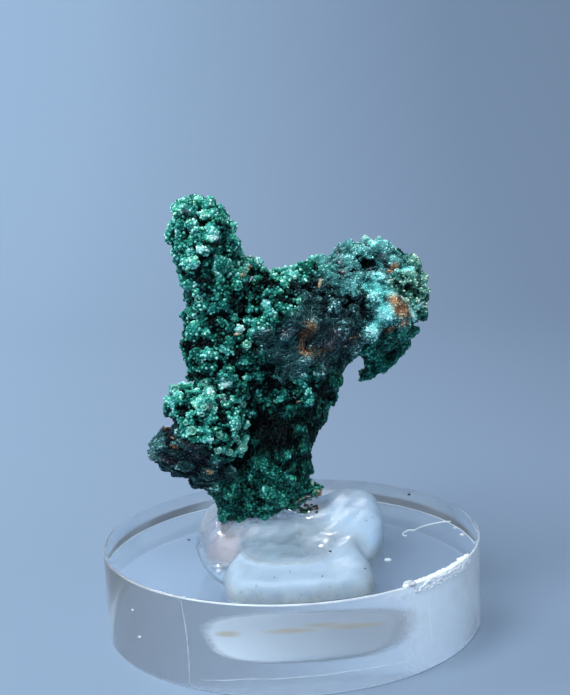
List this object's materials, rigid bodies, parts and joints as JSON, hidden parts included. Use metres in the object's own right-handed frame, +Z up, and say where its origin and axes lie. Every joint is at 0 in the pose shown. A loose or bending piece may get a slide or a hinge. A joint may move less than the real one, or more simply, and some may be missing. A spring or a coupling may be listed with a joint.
{
  "type": "mounted malachite specimen",
  "caption": "Botryoidal malachite stone, forked like a Y, fixed by a mound of clear and cloudy hot glue to a thick round clear acrylic display base.",
  "frame": {"origin": "centre of the acrylic base's flat underside", "axes": "+Z up along the base's axis; +Y away from the viewer; +X to the viewer's right, towards the stone's heavy arm"},
  "size_m": [0.035, 0.035, 0.0402],
  "materials": {
    "malachite": "dull to silky botryoidal crust, dark green with pale green tips and rusty stains",
    "hot_glue": "glossy, clear to milky",
    "acrylic": "polished clear acrylic with light scratches and a rough sawn burr on part of the rim"
  },
  "bodies": {
    "root": {"malachite": "malachite", "hot_glue_mound": "hot_glue", "acrylic_base": "acrylic"}
  },
  "joints": []
}
